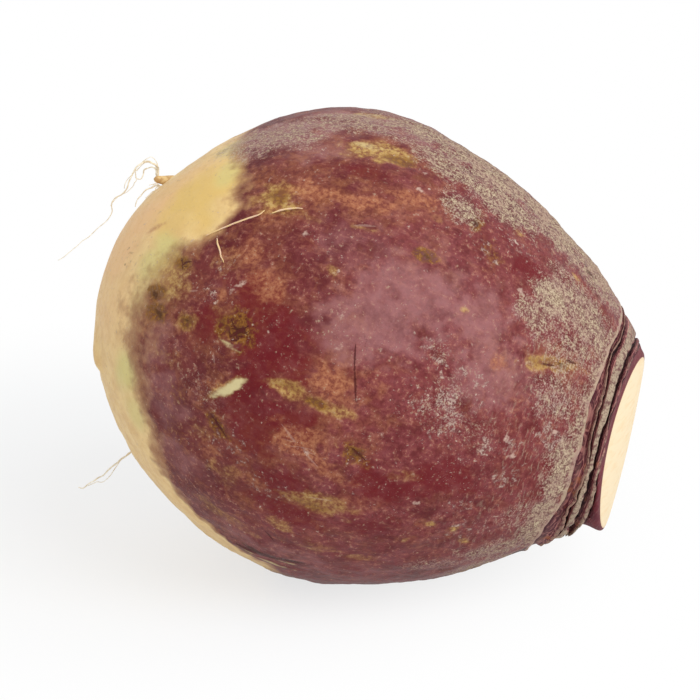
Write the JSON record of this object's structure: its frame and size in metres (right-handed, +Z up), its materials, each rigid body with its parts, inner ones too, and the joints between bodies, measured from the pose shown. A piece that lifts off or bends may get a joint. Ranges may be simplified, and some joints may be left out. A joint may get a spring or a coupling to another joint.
{
  "type": "rutabaga",
  "caption": "Egg-shaped purple and yellow root vegetable lying on its side, with leaf-scar collars and a pale cut at the crown and thin dry side roots at the root end",
  "frame": {"origin": "middle of the small flat resting spot on the underside, on the surface that the root lies on", "axes": "+Z up; +X toward the crown, along the longest extent; -Y toward the viewer, so the root's own axis lies in the XZ plane and dips 19 degrees toward the crown"},
  "size_m": [0.1461, 0.1139, 0.1163],
  "materials": {
    "root_skin": "satin",
    "fine_root": "matte"
  },
  "bodies": {
    "root": {"rutabaga_root": "root_skin", "fine_root_long": "fine_root", "fine_root_curl": "fine_root", "fine_root_short": "fine_root", "fine_root_straight": "fine_root"}
  },
  "joints": []
}
